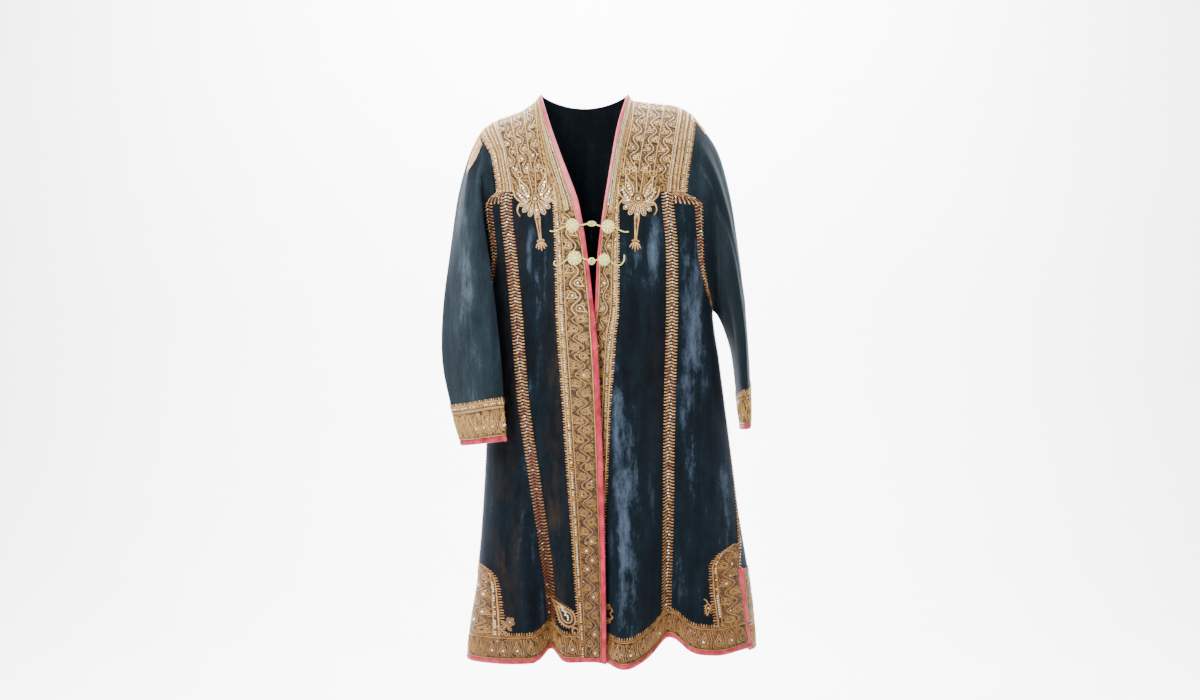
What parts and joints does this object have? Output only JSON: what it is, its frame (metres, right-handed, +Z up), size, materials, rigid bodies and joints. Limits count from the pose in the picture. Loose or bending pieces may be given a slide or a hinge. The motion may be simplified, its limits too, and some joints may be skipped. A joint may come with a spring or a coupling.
{
  "type": "caftan",
  "caption": "Long open-fronted velvet caftan with embroidered yokes, borders and cuffs, satin binding, side slits and knotted clasps, in its worn, hollow shape.",
  "frame": {"origin": "where the wearer holds it up: between the shoulders, inside the neck, level with the wearer's left neck point", "axes": "+Z up, towards the neck; the open front faces -Y; +X is towards the wearer's left"},
  "size_m": [0.6056, 0.2859, 1.0898],
  "materials": {
    "velvet": "dark navy cotton-backed velvet with a worn, streaked nap",
    "embroidery": "couched metal thread over card, antique gold, with silvery sequins",
    "braid": "narrow herringbone braid of metal thread and coppery silk",
    "satin": "pink-red silk satin binding",
    "clasps": "pale gilt thread passementerie discs, knots and cords"
  },
  "bodies": {
    "root": {"back": "velvet", "braid_bar_left": "braid", "braid_bar_right": "braid", "bud": "embroidery", "clasp_disc_lower_left": "clasps", "clasp_disc_lower_right": "clasps", "clasp_disc_upper_left": "clasps", "clasp_disc_upper_right": "clasps", "clasp_link_lower": "clasps", "clasp_link_upper": "clasps", "clasp_tail_lower_left": "clasps", "clasp_tail_lower_right": "clasps", "clasp_tail_upper_left": "clasps", "clasp_tail_upper_right": "clasps", "cuff_binding_left": "satin", "cuff_binding_right": "satin", "cuff_left": "embroidery", "cuff_right": "embroidery", "edge_binding_left": "satin", "edge_binding_right": "satin", "flower": "embroidery", "front_border_left": "embroidery", "front_border_right": "embroidery", "front_braid_left": "braid", "front_braid_right": "braid", "front_left": "velvet", "front_right": "velvet", "hem_binding_back": "satin", "hem_binding_front_left": "satin", "hem_binding_front_right": "satin", "hem_border_back": "embroidery", "hem_border_front_left": "embroidery", "hem_border_front_right": "embroidery", "neck_binding_back": "satin", "neck_border_back": "embroidery", "paisley": "embroidery", "palmette_left": "embroidery", "palmette_right": "embroidery", "shoulder_front_left": "velvet", "shoulder_front_right": "velvet", "shoulder_strip_left": "embroidery", "shoulder_strip_right": "embroidery", "side_braid_left": "braid", "side_braid_right": "braid", "side_front_left": "velvet", "side_front_right": "velvet", "sleeve_left": "velvet", "sleeve_right": "velvet", "slit_binding_back_left": "satin", "slit_binding_back_right": "satin", "slit_binding_front_left": "satin", "slit_binding_front_right": "satin", "slit_border_back_left": "embroidery", "slit_border_back_right": "embroidery", "slit_corner_left": "embroidery", "slit_corner_right": "embroidery", "yoke_back_left": "embroidery", "yoke_back_right": "embroidery", "yoke_front_left": "embroidery", "yoke_front_right": "embroidery"}
  },
  "joints": []
}
